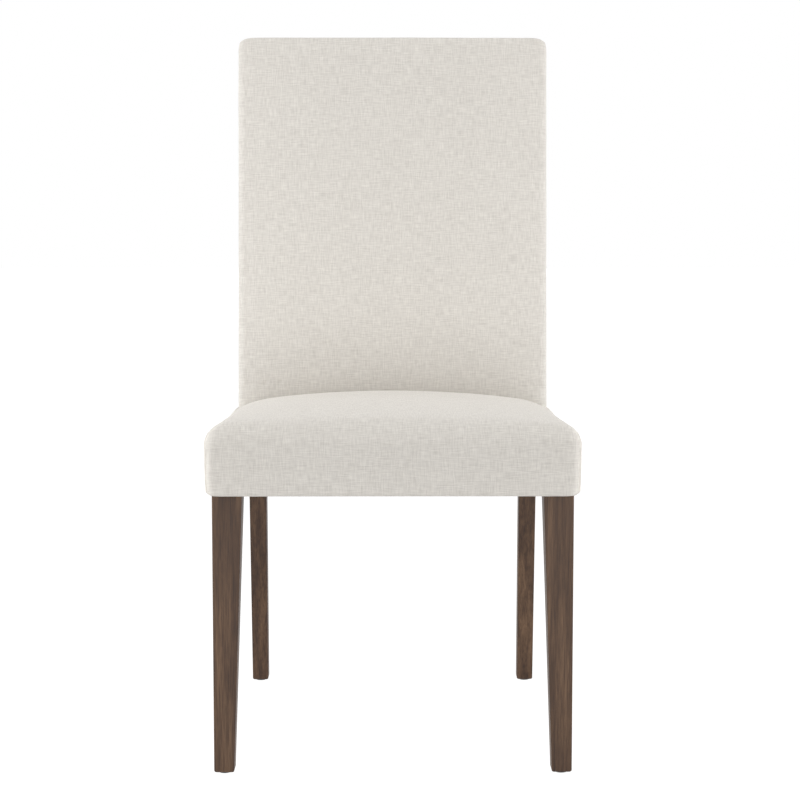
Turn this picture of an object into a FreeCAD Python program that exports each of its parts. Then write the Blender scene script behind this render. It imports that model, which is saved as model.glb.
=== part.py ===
import FreeCAD, Part
import math
import os

# Parsons chair, millimetres, +Z up, the chair's front towards -Y.
# The model is worked out with Y = 0 on the seat's front face and is then moved so that
# its origin lies on the floor under the middle of the chair.

# Overall sizes
overall_height = 1019.0
seat_underside_height = 374.5
seat_depth = 439.5  # seat front to the foot of the back's front face
seat_edge_width = 486.0  # width of the seat along its lower edge
back_side_step = 5.0  # each side of the back inside the seat's lower edge
back_rake = 5.3  # degrees from upright

# Upholstery layers
cover_thickness = 1.5
batting_thickness = 2.5
back_batting_thickness = 3.0
seat_foam_thickness = 33.5  # at the highest part of the crown
back_foam_thickness = 34.0  # at the middle of the crown
back_top_foam = 8.0
webbing_thickness = 1.2
webbing_width = 50.0
lining_thickness = 0.8
board_thickness = 2.0
dust_cover_thickness = 0.8

# Seat shape
seat_side_bulge = 5.0  # each side beyond the lower edge
seat_bulge_height = 50.0  # above the underside
seat_front_roll = 28.0  # radius of the soft front edge
seat_corner_radius = 12.0  # front corners seen from above
seat_crown_front_drop = 8.0
seat_crown_rear_drop = 2.5
seat_rear_radius = 6.0  # rear corners seen from above
seat_rim_drop_front = 1.0  # top of the bowed side, below the deck
seat_rim_drop_rear = 0.7
seat_edge_rise_front = 27.5  # where the crown starts, above the deck
seat_edge_rise_rear = 24.0
seat_shoulder_front = 28.0  # width of the rounded shoulder
seat_shoulder_rear = 62.0
seat_fullness_front = 7.5  # how far the shoulder bows out of its chord
seat_fullness_rear = 4.5
seat_corner_tightness = 0.6  # share of the shoulder's width lost at the front face
seat_corner_rim_share = 0.3  # share of the front roll's drop that the rim follows
seat_body_shares = (0.3, 0.65, 1.0)  # of the seat's depth, where the body has sections
rounding_angles = [math.radians(angle) for angle in (0, 30, 60, 90)]

# Back shape
back_crown = 5.0
back_crown_foot = 1.0
back_crown_head = 2.0
back_front_radius = 15.0
back_rear_radius = 4.0
back_top_radius = 14.0
least_radius = 1.0  # of the inner layers' corners

# Wooden frame
rail_thickness = 22.0
rail_height = 63.0
front_padding = 10.0  # seat front to the face of the front legs
front_leg_width = 40.0
front_foot_width = 27.0
front_foot_depth = 28.0
rear_leg_width = 27.0
rear_foot_width = 25.0
rear_leg_depth = 31.0
rear_foot_depth = 28.0
rear_foot_setback = 55.0  # foot behind the straight part of the rear leg
leg_edge_radius = 2.0
foot_edge_radius = 3.0
back_side_padding = 13.0  # post to the back's side
back_rail_height = 55.0
back_middle_rail_height = 40.0
back_lower_rail_rise = 30.0  # lower rail above the deck
corner_block_height = 30.0
corner_block_arm_front = 72.0
corner_block_arm_rear = 81.0

# Fasteners and small pieces
dowel_diameter = 10.0
dowel_length = 36.0
dowel_spacing = 32.0
back_dowel_shares = (0.25, 0.75)  # of each back rail's height
screw_length = 35.0
screw_shank_diameter = 4.5
screw_head_diameter = 9.0
screw_head_height = 3.0
screw_tip = 4.0
corner_screw_bite = 15.4  # of a corner block's screw, in the rail
side_screw_spacing = 14.0
side_screw_setback = 22.0  # behind the rear leg's front face
bolt_diameter = 8.0
bolt_in_leg = 20.0
bolt_end = 3.0  # beyond the nut
washer_diameter = 20.0
washer_thickness = 1.6
nut_across_flats = 13.0
nut_height = 6.5
glide_diameter = 18.0
glide_thickness = 2.0
glide_edge = 0.8
glide_nail_diameter = 2.5
glide_nail_length = 15.0
staple_crown = 10.0
staple_wire = 0.7
staple_leg = 7.0
staples_per_strap_end = 3
lengthwise_straps = 4
crosswise_straps = 4
back_straps = 5
dust_staple_pitch = 62.0
dust_staple_inset = 14.0
strap_inset = 4.0  # straps and linings end inside the frame's outer faces
staple_inset = 8.0  # staples from the strap's end
hem_width = 28.0
dust_cover_inset = 6.0
panel_edge = 4.0  # outside back panel inside the back's sides
fit_gap = 0.3  # between the back and the seat

# Levels
frame_bottom = seat_underside_height + cover_thickness
rail_top = frame_bottom + rail_height
side_rail_top = rail_top + webbing_thickness
deck = side_rail_top + webbing_thickness + lining_thickness
seat_crown_height = deck + seat_foam_thickness + batting_thickness + cover_thickness

# Places across and along the chair
seat_half = seat_edge_width / 2
frame_half = seat_half - cover_thickness - batting_thickness
back_half = seat_half - back_side_step
post_outer = back_half - back_side_padding
post_inner = post_outer - rear_leg_width
rail_inner = frame_half - rail_thickness
leg_inner = frame_half - front_leg_width
leg_front = front_padding
leg_rear = leg_front + front_leg_width
front_rail_rear = leg_front + rail_thickness
back_edge_foam = back_foam_thickness - back_crown
back_layers = webbing_thickness + lining_thickness
back_front = back_layers + back_edge_foam + back_batting_thickness + cover_thickness
post_front = seat_depth + back_front
post_rear = post_front + rear_leg_depth
rear_rail_front = post_rear - rail_thickness
board_back = rear_leg_depth + board_thickness
back_rear = board_back + cover_thickness
foot_front = post_front + rear_foot_setback
rake = math.radians(back_rake)
head_front = back_front + back_crown_head - back_top_radius
back_length = (overall_height - deck - head_front * math.sin(rake)) / math.cos(rake)
post_length = back_length - cover_thickness - back_batting_thickness - back_top_foam
back_reach = post_front + back_rear * math.cos(rake) + (back_length - back_top_radius) * math.sin(rake)
overall_depth = max(back_reach, foot_front + rear_foot_depth)


# Plain shapes

def vec(x, y, z):
    return FreeCAD.Vector(x, y, z)


def block(x0, x1, y0, y1, z0, z1):
    return Part.makeBox(x1 - x0, y1 - y0, z1 - z0, vec(x0, y0, z0))


def prism(points, sweep):
    wire = Part.makePolygon(points + [points[0]])
    return Part.Face(wire).extrude(sweep)


def side_prism(points, x0, x1):
    """A side view outline, as (y, z) points, from x0 to x1."""
    return prism([vec(x0, y, z) for y, z in points], vec(x1 - x0, 0, 0))


def plan_prism(points, z0, z1):
    """A plan outline, as (x, y) points, from z0 to z1."""
    return prism([vec(x, y, z0) for x, y in points], vec(0, 0, z1 - z0))


def mirrored(shape):
    return shape.mirror(vec(0, 0, 0), vec(1, 0, 0))


def both_sides(shapes):
    return shapes + [mirrored(shape) for shape in shapes]


def line(a, b):
    return Part.LineSegment(a, b).toShape()


def arc(a, b, c):
    return Part.Arc(a, b, c).toShape()


def bowed(a, b, rise, across):
    """An arc from a to b whose middle stands off the chord by rise, away from across."""
    middle = (a + b) * 0.5
    chord = (b - a).normalize()
    out = chord.cross(across).normalize()
    return arc(a, middle + out * rise, b)


def loft(wires):
    return Part.makeLoft(wires, True, False)


def below(level):
    """All the room under a level."""
    return block(-overall_height, overall_height, -overall_height, overall_height, -overall_height, level)


def behind(y):
    """All the room to the rear of y."""
    return block(-overall_height, overall_height, y, y + overall_height, -overall_height, 2 * overall_height)


# The leaning back: a point is (x, distance behind the posts' front, height up the back)

def leaned(shape):
    turned = shape.copy()
    turned.translate(vec(0, post_front, deck))
    turned.rotate(vec(0, post_front, deck), vec(1, 0, 0), -back_rake)
    return turned


def lean_point(offset, up):
    """The (y, z) point at an offset behind the posts' front and a height up the back."""
    y = post_front + offset * math.cos(rake) + up * math.sin(rake)
    z = deck - offset * math.sin(rake) + up * math.cos(rake)
    return (y, z)


def bend_point(offset):
    """Where the upright part of the rear turns into the leaning part, as (y, z)."""
    return (post_front + offset, deck - offset * math.tan(rake / 2))


def rear_band(near, far, bottom, top_length, half_width):
    """A sheet that follows the rear of the chair, from bottom to a length up the back."""
    outline = [
        (post_front + near, bottom),
        bend_point(near),
        lean_point(near, top_length),
        lean_point(far, top_length),
        bend_point(far),
        (post_front + far, bottom),
    ]
    return side_prism(outline, -half_width, half_width)


# Seat form

def between(front_value, rear_value, share):
    return front_value + (rear_value - front_value) * share


def seat_section(y, inset, drop, side_inset):
    """Cross-section of the seat at y: flat below, bowed sides, round shoulders, crown."""
    share = min(max(y / seat_depth, 0), 1)
    softness = 1 - drop / seat_front_roll * seat_corner_tightness
    crown_drop = between(seat_crown_front_drop, seat_crown_rear_drop, share) * (2 * share - 1) ** 2
    rim_drop = between(seat_rim_drop_front, seat_rim_drop_rear, share) + drop * seat_corner_rim_share
    shoulder = between(seat_shoulder_front, seat_shoulder_rear, share) * softness
    fullness = between(seat_fullness_front, seat_fullness_rear, share) * softness
    edge_rise = between(seat_edge_rise_front, seat_edge_rise_rear, share)
    foot = seat_half - inset - side_inset
    widest = foot + seat_side_bulge
    skirt_z = seat_underside_height - hem_width
    bulge = vec(widest, y, seat_underside_height + seat_bulge_height)
    low = vec(foot, y, seat_underside_height)
    rim = vec(widest, y, deck - rim_drop)
    edge = vec(widest - shoulder, y, deck + edge_rise - inset - drop)
    crown = vec(0, y, seat_crown_height - inset - drop - crown_drop)
    along = vec(0, 1, 0)

    def flip(point):
        return vec(-point.x, y, point.z)

    return Part.Wire([
        line(vec(-foot, y, skirt_z), vec(foot, y, skirt_z)),
        line(vec(foot, y, skirt_z), low),
        arc(low, bulge, rim),
        bowed(rim, edge, fullness, -along),
        arc(edge, crown, flip(edge)),
        bowed(flip(edge), flip(rim), fullness, -along),
        arc(flip(rim), flip(bulge), flip(low)),
        line(flip(low), vec(-foot, y, skirt_z)),
    ])


def corner_inset(radius, distance):
    """How far a round corner of a plan outline is in from the side, at a distance from its end."""
    reach = max(radius - distance, 0)
    return radius - math.sqrt(radius ** 2 - reach ** 2)


def seat_form(inset, bottom, rear_plane):
    """The upholstered seat, its surfaces inset: a front roll, a crowned body and a rear edge."""
    roll = seat_front_roll - inset
    corner = seat_corner_radius - inset
    tail = max(seat_rear_radius - inset, least_radius)
    front_wires = []
    for angle in rounding_angles:
        along = roll * (1 - math.cos(angle))
        drop = roll * (1 - math.sin(angle))
        front_wires.append(seat_section(inset + along, inset, drop, corner_inset(corner, along)))
    body_wires = [front_wires[-1]]
    for share in seat_body_shares:
        body_wires.append(seat_section(seat_depth * share, inset, 0, 0))
    body_wires.append(seat_section(rear_plane - tail, inset, 0, 0))
    rear_wires = []
    for angle in rounding_angles:
        distance = tail * (1 - math.sin(angle))
        rear_wires.append(seat_section(rear_plane - distance, inset, 0, corner_inset(tail, distance)))
    whole = loft(front_wires).multiFuse([loft(body_wires), loft(rear_wires)]).removeSplitter()
    return whole.cut(below(bottom))


# Back form

def back_section(up, inset, rear_plane, crown, shrink):
    """Plan outline of the back at a height up it: bowed front, round corners, flat rear."""
    half = back_half - inset - shrink
    front = -back_front + inset + shrink
    rear = rear_plane - shrink * back_rear_radius / back_top_radius
    r = max(back_front_radius - inset, least_radius)
    q = max(back_rear_radius - inset, least_radius)
    cut = 1 - math.sqrt(0.5)
    return Part.Wire([
        line(vec(-half + q, rear, up), vec(half - q, rear, up)),
        arc(vec(half - q, rear, up), vec(half - q * cut, rear - q * cut, up), vec(half, rear - q, up)),
        line(vec(half, rear - q, up), vec(half, front + r, up)),
        arc(vec(half, front + r, up), vec(half - r * cut, front + r * cut, up), vec(half - r, front, up)),
        arc(vec(half - r, front, up), vec(0, front - crown, up), vec(-half + r, front, up)),
        arc(vec(-half + r, front, up), vec(-half + r * cut, front + r * cut, up), vec(-half, front + r, up)),
        line(vec(-half, front + r, up), vec(-half, rear - q, up)),
        arc(vec(-half, rear - q, up), vec(-half + q * cut, rear - q * cut, up), vec(-half + q, rear, up)),
    ])


def back_form(inset, rear_plane):
    """The upholstered back, every surface inset, with its top edges rounded."""
    roll = back_top_radius - inset
    top = back_length - inset
    start = top - roll
    body = loft([
        back_section(-rear_leg_depth, inset, rear_plane, back_crown_foot, 0),
        back_section(start / 2, inset, rear_plane, back_crown, 0),
        back_section(start, inset, rear_plane, back_crown_head, 0),
    ])
    head_wires = []
    for angle in rounding_angles:
        up = start + roll * math.sin(angle)
        shrink = roll * (1 - math.cos(angle))
        head_wires.append(back_section(up, inset, rear_plane, back_crown_head, shrink))
    whole = leaned(body.fuse(loft(head_wires)).removeSplitter())
    return whole.cut(below(deck + fit_gap))


# Fasteners

def turned_profile(points):
    """A solid turned about Z from (radius, z) points."""
    wire = Part.makePolygon([vec(r, 0, z) for r, z in points + [points[0]]])
    return Part.Face(wire).revolve(vec(0, 0, 0), vec(0, 0, 1), 360)


def placed(shape, point, direction):
    """A copy with its Z axis along direction and its origin at point."""
    turned = shape.copy()
    turn = FreeCAD.Rotation(vec(0, 0, 1), direction)
    turned.Placement = FreeCAD.Placement(point, turn)
    return turned


def wood_screw():
    """Countersunk screw: its head's top at z 0, its tip along +Z."""
    head = screw_head_diameter / 2
    shank = screw_shank_diameter / 2
    return turned_profile([
        (0, 0),
        (head, 0),
        (shank, screw_head_height),
        (shank, screw_length - screw_tip),
        (0, screw_length),
    ])


def dowel(point, direction):
    """A dowel whose middle is at point."""
    start = point - direction * (dowel_length / 2)
    return Part.makeCylinder(dowel_diameter / 2, dowel_length, start, direction)


def dowel_pair(x, y, direction):
    middle = frame_bottom + rail_height / 2
    heights = (middle - dowel_spacing / 2, middle + dowel_spacing / 2)
    return [dowel(vec(x, y, z), direction) for z in heights]


def front_rail_dowels():
    return both_sides(dowel_pair(leg_inner, leg_front + rail_thickness / 2, vec(1, 0, 0)))


def side_rail_dowels():
    return both_sides(dowel_pair(frame_half - rail_thickness / 2, leg_rear, vec(0, 1, 0)))


def rear_rail_dowels():
    return both_sides(dowel_pair(post_inner, post_rear - rail_thickness / 2, vec(1, 0, 0)))


def side_screws():
    """Screws through the side rails into the rear legs."""
    middle = frame_bottom + rail_height / 2
    y = post_front + side_screw_setback
    screws = []
    for z in (middle - side_screw_spacing / 2, middle + side_screw_spacing / 2):
        screws.append(placed(wood_screw(), vec(frame_half, y, z), vec(-1, 0, 0)))
    return both_sides(screws)


# Corner blocks and the bolts through them

block_middle = frame_bottom + rail_height / 2
bolt_direction_front = vec(1, -1, 0).normalize()
bolt_direction_rear = vec(1, 1, 0).normalize()


def front_corner_block():
    x = rail_inner
    y = front_rail_rear
    arm = corner_block_arm_front
    outline = [(x - arm, y), (leg_inner, y), (leg_inner, leg_rear), (x, leg_rear), (x, y + arm)]
    return plan_prism(outline, block_middle - corner_block_height / 2, block_middle + corner_block_height / 2)


def rear_corner_block():
    x = rail_inner
    y = rear_rail_front
    arm = corner_block_arm_rear
    outline = [(x, y - arm), (x, post_front), (post_inner, post_front), (post_inner, y), (x - arm, y)]
    return plan_prism(outline, block_middle - corner_block_height / 2, block_middle + corner_block_height / 2)


def block_face(corner, rail_y, arm, inward):
    """The point on a block's long face where the bolt through the leg's corner comes out."""
    face = vec(rail_inner - arm, rail_y, block_middle)
    return corner - inward * (corner - face).dot(inward)


def bolt_seats():
    """For each right-hand corner: the leg's corner, the block's face and the way into the leg."""
    front = vec(leg_inner, leg_rear, block_middle)
    rear = vec(post_inner, post_front, block_middle)
    front_face = block_face(front, front_rail_rear, corner_block_arm_front, bolt_direction_front)
    rear_face = block_face(rear, rear_rail_front, corner_block_arm_rear, bolt_direction_rear)
    return [(front, front_face, bolt_direction_front), (rear, rear_face, bolt_direction_rear)]


def leg_bolts():
    bolts = []
    for corner, face, inward in bolt_seats():
        start = face - inward * (washer_thickness + nut_height + bolt_end)
        length = (corner - start).Length + bolt_in_leg
        bolts.append(Part.makeCylinder(bolt_diameter / 2, length, start, inward))
    return both_sides(bolts)


def leg_bolt_washers():
    washers = []
    for corner, face, inward in bolt_seats():
        start = face - inward * washer_thickness
        disc = Part.makeCylinder(washer_diameter / 2, washer_thickness, start, inward)
        hole = Part.makeCylinder(bolt_diameter / 2, washer_thickness, start, inward)
        washers.append(disc.cut(hole))
    return both_sides(washers)


def leg_bolt_nuts():
    corner_radius = nut_across_flats / math.sqrt(3)
    points = []
    for turn in (math.radians(60 * corner) for corner in range(6)):
        points.append((corner_radius * math.cos(turn), corner_radius * math.sin(turn)))
    blank = plan_prism(points, 0, nut_height)
    bored = blank.cut(Part.makeCylinder(bolt_diameter / 2, nut_height))
    nuts = []
    for corner, face, inward in bolt_seats():
        start = face - inward * (washer_thickness + nut_height)
        nuts.append(placed(bored, start, inward))
    return both_sides(nuts)


def corner_screws():
    """One screw from each block's long face into each of its two rails."""
    driven = screw_length - corner_screw_bite
    screws = []
    for y, arm, way in (
        (front_rail_rear, corner_block_arm_front, -1),
        (rear_rail_front, corner_block_arm_rear, 1),
    ):
        along = vec(rail_inner - arm + driven, y - way * driven, block_middle)
        screws.append(placed(wood_screw(), along, vec(0, way, 0)))
        beside = vec(rail_inner - driven, y - way * (arm - driven), block_middle)
        screws.append(placed(wood_screw(), beside, vec(1, 0, 0)))
    return both_sides(screws)


# Wooden pieces

def leg_section(x0, x1, front, rear, inset):
    """Rounded rectangle across a leg; front and rear are (y, z) points in side view."""
    start = vec(0, front[0], front[1])
    depth = vec(0, rear[0], rear[1]) - start
    way = vec(0, depth.y, depth.z).normalize()
    near, far = inset, depth.Length - inset
    left, right = x0 + inset, x1 - inset
    r = leg_edge_radius
    cut = r * (1 - math.sqrt(0.5))

    def at(x, along):
        return vec(x, 0, 0) + start + way * along

    return Part.Wire([
        line(at(left + r, near), at(right - r, near)),
        arc(at(right - r, near), at(right - cut, near + cut), at(right, near + r)),
        line(at(right, near + r), at(right, far - r)),
        arc(at(right, far - r), at(right - cut, far - cut), at(right - r, far)),
        line(at(right - r, far), at(left + r, far)),
        arc(at(left + r, far), at(left + cut, far - cut), at(left, far - r)),
        line(at(left, far - r), at(left, near + r)),
        arc(at(left, near + r), at(left + cut, near + cut), at(left + r, near)),
    ])


def foot_sections(outer, width, front, depth, lean):
    """Sections round the foot's lower edge; lean is the leg's slope towards the front."""
    sections = []
    for angle in rounding_angles:
        rise = foot_edge_radius * (1 - math.cos(angle))
        inset = foot_edge_radius * (1 - math.sin(angle))
        z = glide_thickness + rise
        y = front - lean * rise
        sections.append(leg_section(outer - width, outer, (y, z), (y + depth, z), inset))
    return sections


def front_leg():
    sections = foot_sections(frame_half, front_foot_width, leg_front, front_foot_depth, 0)
    for z in (seat_underside_height, rail_top):
        sections.append(leg_section(leg_inner, frame_half, (leg_front, z), (leg_rear, z), 0))
    return Part.makeLoft(sections, True, True)


def rear_leg():
    slope = rear_foot_setback / (frame_bottom - glide_thickness)
    sections = foot_sections(post_outer, rear_foot_width, foot_front, rear_foot_depth, slope)
    sides = [
        ((post_front, frame_bottom), (post_rear, frame_bottom)),
        (bend_point(0), bend_point(rear_leg_depth)),
        (lean_point(0, post_length), lean_point(rear_leg_depth, post_length)),
    ]
    for front, rear in sides:
        sections.append(leg_section(post_inner, post_outer, front, rear, 0))
    return Part.makeLoft(sections, True, True)


def front_rail():
    return block(-leg_inner, leg_inner, leg_front, front_rail_rear, frame_bottom, rail_top)


def rear_rail():
    return block(-post_inner, post_inner, rear_rail_front, post_rear, frame_bottom, rail_top)


def side_rail():
    return block(rail_inner, frame_half, leg_rear, post_rear, frame_bottom, side_rail_top)


def back_rail(bottom, height):
    rail = block(-post_inner, post_inner, 0, rail_thickness, bottom, bottom + height)
    return leaned(rail)


back_rail_places = {
    "back_top_rail": (post_length - back_rail_height, back_rail_height),
    "back_middle_rail": ((post_length - back_middle_rail_height) / 2, back_middle_rail_height),
    "back_lower_rail": (back_lower_rail_rise, back_rail_height),
}


def back_rail_dowels():
    dowels = []
    for bottom, height in back_rail_places.values():
        for share in back_dowel_shares:
            point = vec(post_inner, rail_thickness / 2, bottom + height * share)
            dowels.append(leaned(dowel(point, vec(1, 0, 0))))
    return both_sides(dowels)


def glide(x, y):
    """A nail-in glide: a disc with a small edge and the nail that holds it."""
    outline = [
        (0, 0),
        (glide_diameter / 2 - glide_edge, 0),
        (glide_diameter / 2, glide_edge),
        (glide_diameter / 2, glide_thickness),
        (glide_nail_diameter / 2, glide_thickness),
        (glide_nail_diameter / 2, glide_thickness + glide_nail_length),
        (0, glide_thickness + glide_nail_length),
    ]
    return placed(turned_profile(outline), vec(x, y, 0), vec(0, 0, 1))


# Webbing and its staples

def spread(low, high, count, width):
    """Start points of count strips of one width with equal gaps between low and high."""
    gap = (high - low - count * width) / (count + 1)
    return [low + gap * (i + 1) + width * i for i in range(count)]


def lengthwise_webbing():
    y0 = leg_front + strap_inset
    y1 = post_rear - strap_inset
    z1 = rail_top + webbing_thickness
    starts = spread(-rail_inner, rail_inner, lengthwise_straps, webbing_width)
    return [block(x, x + webbing_width, y0, y1, rail_top, z1) for x in starts]


def crosswise_webbing():
    x1 = frame_half - strap_inset
    z1 = side_rail_top + webbing_thickness
    starts = spread(front_rail_rear, rear_rail_front, crosswise_straps, webbing_width)
    return [block(-x1, x1, y, y + webbing_width, side_rail_top, z1) for y in starts]


def back_strap_places():
    low = back_rail_places["back_lower_rail"][0] + back_rail_height
    high = back_rail_places["back_top_rail"][0]
    return spread(low, high, back_straps, webbing_width)


def back_webbing():
    x1 = post_outer - strap_inset
    places = back_strap_places()
    return [leaned(block(-x1, x1, -webbing_thickness, 0, z, z + webbing_width)) for z in places]


def staple():
    """A staple with its crown's underside at z 0, along Y, and its legs down."""
    half = staple_crown / 2
    wire = staple_wire / 2
    crown = block(-wire, wire, -half, half, 0, staple_wire)
    legs = []
    for y in (-half, half - staple_wire):
        legs.append(block(-wire, wire, y, y + staple_wire, -staple_leg, 0))
    return crown.multiFuse(legs).removeSplitter()


def strap_end_places(start):
    step = webbing_width / staples_per_strap_end
    return [start + step * (i + 0.5) for i in range(staples_per_strap_end)]


def seat_webbing_staples():
    staples = []
    z = rail_top + webbing_thickness
    ends = (leg_front + strap_inset + staple_inset, post_rear - strap_inset - staple_inset)
    across = staple()
    across.rotate(vec(0, 0, 0), vec(0, 0, 1), 90)
    for start in spread(-rail_inner, rail_inner, lengthwise_straps, webbing_width):
        for x in strap_end_places(start):
            for y in ends:
                staples.append(across.translated(vec(x, y, z)))
    z = side_rail_top + webbing_thickness
    x = frame_half - strap_inset - staple_inset
    for start in spread(front_rail_rear, rear_rail_front, crosswise_straps, webbing_width):
        for y in strap_end_places(start):
            for side in (-x, x):
                staples.append(staple().translated(vec(side, y, z)))
    return staples


def back_webbing_staples():
    staples = []
    upright = staple()
    upright.rotate(vec(0, 0, 0), vec(1, 0, 0), 90)
    x = post_outer - strap_inset - staple_inset
    for start in back_strap_places():
        for up in strap_end_places(start):
            for side in (-x, x):
                staples.append(leaned(upright.translated(vec(side, -webbing_thickness, up))))
    return staples


def dust_cover_staples():
    """Staples up into the rails, along all four sides of the dust cover."""
    down = staple()
    down.rotate(vec(0, 0, 0), vec(1, 0, 0), 180)
    turned = down.copy()
    turned.rotate(vec(0, 0, 0), vec(0, 0, 1), 90)
    z = seat_underside_height - dust_cover_thickness
    staples = []
    x_end = leg_inner - dust_staple_inset
    count = int(2 * x_end / dust_staple_pitch) + 1
    for i in range(count):
        x = -x_end + 2 * x_end * i / (count - 1)
        for y in (leg_front + dust_staple_inset, post_rear - dust_staple_inset):
            staples.append(turned.translated(vec(x, y, z)))
    y0 = leg_rear + dust_staple_inset
    y1 = post_front - dust_staple_inset
    count = int((y1 - y0) / dust_staple_pitch) + 1
    for i in range(count):
        y = y0 + (y1 - y0) * i / (count - 1)
        for x in (-frame_half + dust_staple_inset, frame_half - dust_staple_inset):
            staples.append(down.translated(vec(x, y, z)))
    return staples


# Soft pieces

def build():
    seat_rear = post_front + back_rear
    seat_outer = seat_form(0, seat_underside_height, seat_rear)
    seat_under_cover = seat_form(cover_thickness, frame_bottom, post_front + board_back)
    padding_inset = cover_thickness + batting_thickness
    seat_padding_form = seat_form(padding_inset, frame_bottom, post_rear)

    back_outer = back_form(0, back_rear)
    back_under_cover = back_form(cover_thickness, board_back)
    back_inset = cover_thickness + back_batting_thickness
    back_padding_form = back_form(back_inset, back_rear)
    back_room = back_form(-fit_gap, back_rear + fit_gap)

    front_legs = {"right": front_leg()}
    front_legs["left"] = mirrored(front_legs["right"])
    rear_legs = {"right": rear_leg()}
    rear_legs["left"] = mirrored(rear_legs["right"])
    all_legs = list(front_legs.values()) + list(rear_legs.values())

    foot_x = frame_half - front_foot_width / 2
    foot_y = leg_front + front_foot_depth / 2
    rear_foot_x = post_outer - rear_foot_width / 2
    rear_foot_y = foot_front + rear_foot_depth / 2
    glides = {
        "front_right": glide(foot_x, foot_y),
        "front_left": glide(-foot_x, foot_y),
        "rear_right": glide(rear_foot_x, rear_foot_y),
        "rear_left": glide(-rear_foot_x, rear_foot_y),
    }

    front_dowels = front_rail_dowels()
    side_dowels = side_rail_dowels()
    rear_dowels = rear_rail_dowels()
    back_dowels = back_rail_dowels()
    rail_screws = side_screws()
    block_screws = corner_screws()
    bolts = leg_bolts()
    seat_staples = seat_webbing_staples()
    back_staples = back_webbing_staples()
    dust_staples = dust_cover_staples()
    fasteners = front_dowels + side_dowels + rear_dowels + back_dowels
    fasteners = fasteners + rail_screws + block_screws + bolts + list(glides.values())

    def drilled(shape, tools):
        near = [tool for tool in tools if shape.BoundBox.intersect(tool.BoundBox)]
        return shape.cut(near) if near else shape

    nodes = {}
    for side in ("left", "right"):
        nodes["front_leg_" + side] = drilled(front_legs[side], fasteners)
        nodes["rear_leg_" + side] = drilled(rear_legs[side], fasteners + back_staples)
    nodes["front_rail"] = drilled(front_rail(), fasteners + seat_staples + dust_staples)
    nodes["rear_rail"] = drilled(rear_rail(), fasteners + seat_staples + dust_staples)
    rail_tools = fasteners + seat_staples + dust_staples
    right_rail = side_rail()
    nodes["side_rail_right"] = drilled(right_rail.cut(rear_legs["right"]), rail_tools)
    nodes["side_rail_left"] = drilled(mirrored(right_rail).cut(rear_legs["left"]), rail_tools)
    for name, (bottom, height) in back_rail_places.items():
        nodes[name] = drilled(back_rail(bottom, height), fasteners)
    for name, shape in (("front", front_corner_block()), ("rear", rear_corner_block())):
        nodes["corner_block_" + name + "_right"] = drilled(shape, fasteners)
        nodes["corner_block_" + name + "_left"] = drilled(mirrored(shape), fasteners)
    nodes["front_rail_dowels"] = front_dowels
    nodes["side_rail_dowels"] = side_dowels
    nodes["rear_rail_dowels"] = rear_dowels
    nodes["back_rail_dowels"] = back_dowels
    nodes["side_rail_screws"] = rail_screws
    nodes["corner_block_screws"] = block_screws
    nodes["leg_bolts"] = bolts
    nodes["leg_bolt_washers"] = leg_bolt_washers()
    nodes["leg_bolt_nuts"] = leg_bolt_nuts()
    for place, shape in glides.items():
        nodes["glide_" + place] = shape

    nodes["seat_webbing_lengthwise"] = [drilled(strap, seat_staples) for strap in lengthwise_webbing()]
    nodes["seat_webbing_crosswise"] = [drilled(strap, seat_staples) for strap in crosswise_webbing()]
    nodes["seat_webbing_staples"] = seat_staples
    nodes["back_webbing"] = [drilled(strap, back_staples) for strap in back_webbing()]
    nodes["back_webbing_staples"] = back_staples

    lining_half = frame_half - strap_inset
    lining = block(
        -lining_half, lining_half, leg_front + strap_inset, post_rear - strap_inset,
        deck - lining_thickness, deck)
    nodes["seat_lining"] = drilled(lining.cut(list(rear_legs.values())), seat_staples)
    back_lining = block(-post_outer, post_outer, -back_layers, -webbing_thickness, fit_gap, post_length)
    nodes["back_lining"] = drilled(leaned(back_lining), back_staples)

    foam_block = seat_padding_form.cut(below(deck))
    nodes["seat_foam"] = foam_block.cut([back_room] + list(rear_legs.values()))
    front_strip = block(-frame_half, frame_half, 0, leg_front, frame_bottom, deck)
    nodes["front_rail_padding"] = seat_padding_form.common(front_strip)
    side_strip = block(frame_half, overall_height, 0, post_rear, frame_bottom, deck)
    nodes["side_rail_padding_right"] = seat_padding_form.common(side_strip)
    nodes["side_rail_padding_left"] = mirrored(nodes["side_rail_padding_right"])

    seat_batting = seat_under_cover.cut(seat_padding_form)
    nodes["seat_batting"] = seat_batting.cut([back_room, behind(post_rear)])

    panel_half = back_half - panel_edge
    panel_length = back_length - back_top_radius
    outside_panel = rear_band(board_back, back_rear, seat_underside_height, panel_length, panel_half)
    board = rear_band(rear_leg_depth, board_back, frame_bottom, panel_length, back_half - back_inset)
    nodes["outside_back_board"] = board
    nodes["outside_back_cover"] = outside_panel

    hem_opening = block(
        -frame_half + hem_width, frame_half - hem_width,
        leg_front + hem_width, post_rear - hem_width, 0, deck)
    rear_opening = block(-panel_half, panel_half, post_rear, seat_rear, frame_bottom, overall_height)
    seat_cover = seat_outer.cut(seat_under_cover)
    seat_cover = seat_cover.cut([back_room, outside_panel, rear_opening, hem_opening] + all_legs)

    frame_room = leaned(block(
        -post_outer, post_outer, -back_layers, overall_depth, -deck, post_length))
    behind_posts = leaned(behind(rear_leg_depth))
    nodes["back_foam"] = back_padding_form.cut([frame_room, behind_posts])
    nodes["back_batting"] = back_under_cover.cut([back_padding_form, behind_posts])
    nodes["back_cover"] = back_outer.cut(back_under_cover).cut(outside_panel)

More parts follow.
